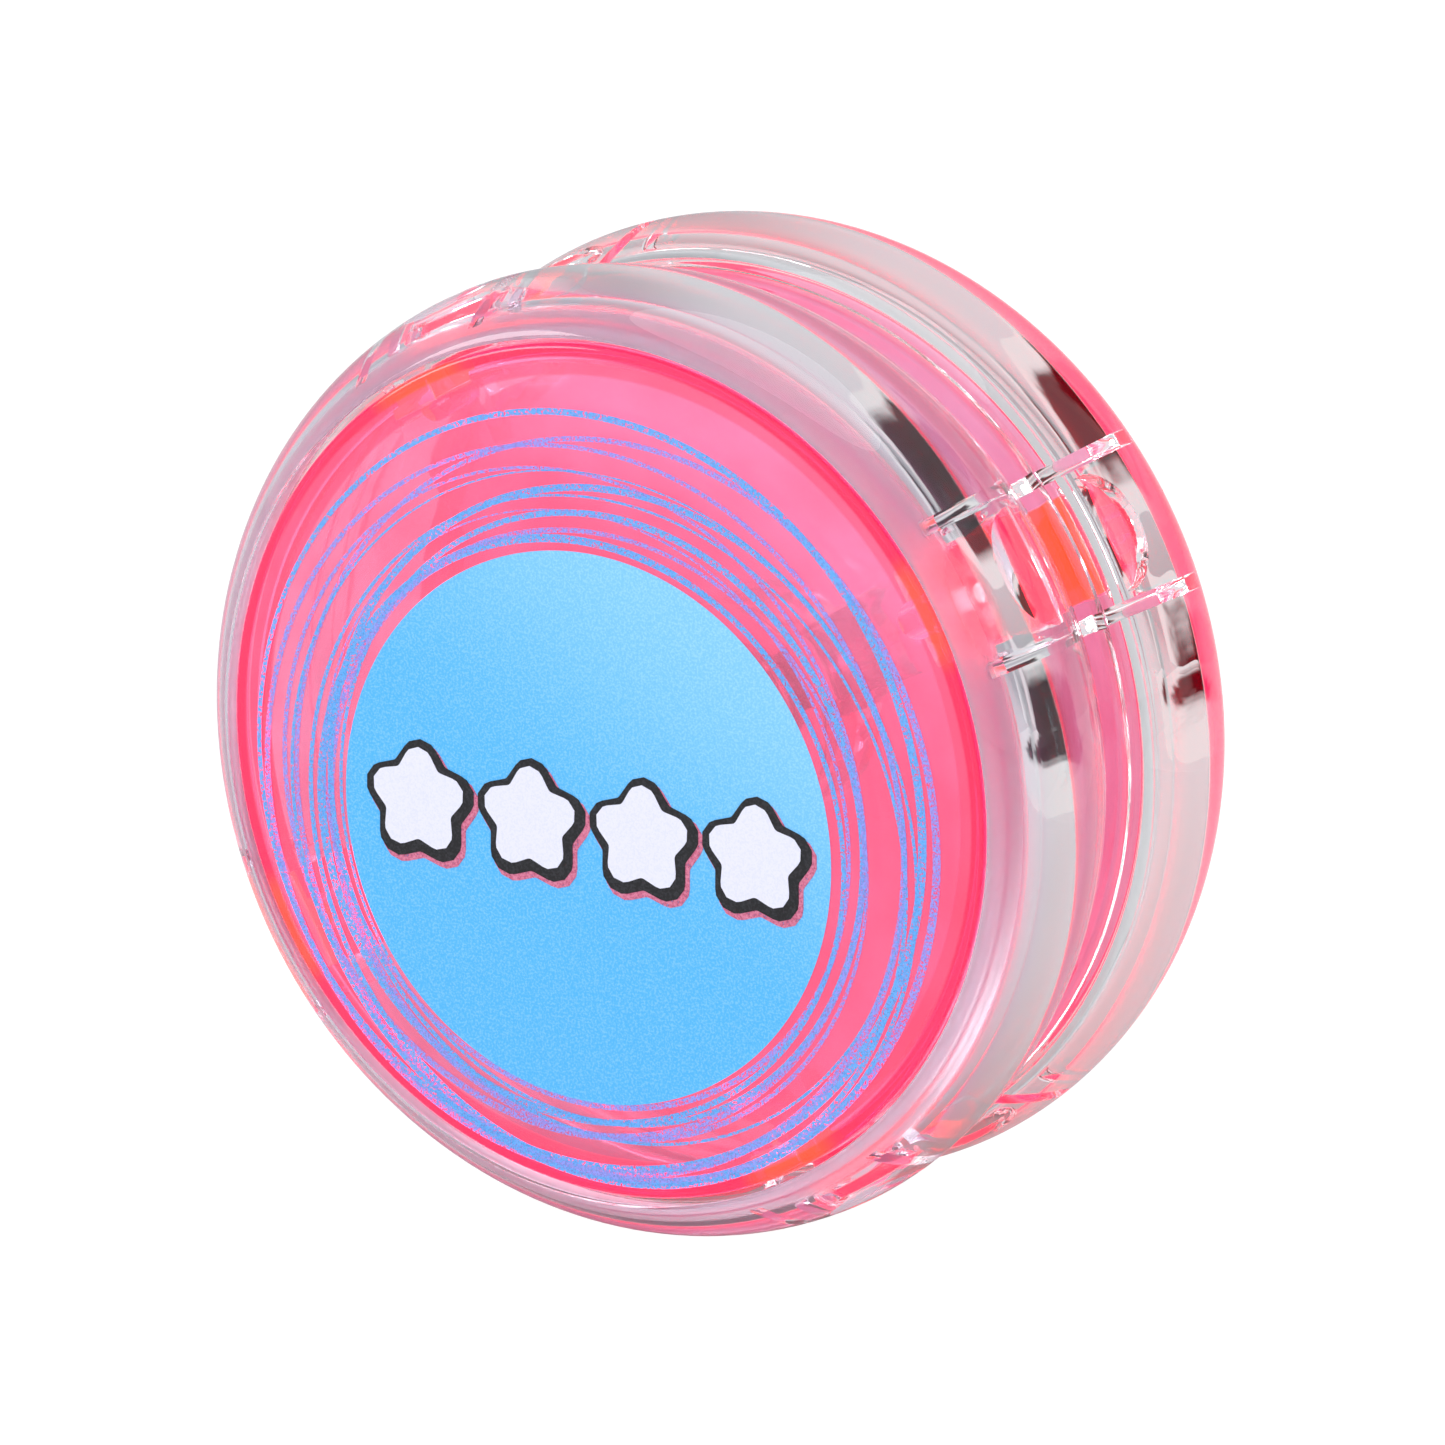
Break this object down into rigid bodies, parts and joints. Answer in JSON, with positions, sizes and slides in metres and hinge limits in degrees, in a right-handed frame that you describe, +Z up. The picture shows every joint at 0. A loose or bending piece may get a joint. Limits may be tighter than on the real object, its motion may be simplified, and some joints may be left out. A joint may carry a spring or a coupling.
{
  "type": "yo-yo",
  "caption": "Clear-shelled yo-yo: rounded transparent halves on a bolted axle with a free-spinning string sleeve, closed by snap-in pink translucent caps.",
  "frame": {"origin": "on the axle, midway between the two halves", "axes": "+Y along the axle from the decorated front cap to the rear cap, +Z up as the toy stands on its rims, +X to the right seen from the front"},
  "size_m": [0.056, 0.025, 0.056],
  "materials": {
    "clear_plastic": "polished clear moulded plastic",
    "pink_plastic": "glossy fluorescent pink translucent plastic",
    "plated_steel": "bright zinc plate",
    "sleeve_plastic": "satin white acetal"
  },
  "bodies": {
    "halves": {"front_shell": "clear_plastic", "rear_shell": "clear_plastic", "front_cap": "pink_plastic", "rear_cap": "pink_plastic", "front_spacer": "plated_steel", "rear_spacer": "plated_steel", "axle_bolt": "plated_steel", "axle_nut": "plated_steel"},
    "sleeve": {"string_sleeve": "sleeve_plastic"}
  },
  "joints": [
    {"name": "sleeve_spin", "type": "hinge", "parent": "halves", "child": "sleeve", "pos_m": [0, 0, 0], "axis": [0, 1, 0], "continuous": true}
  ]
}
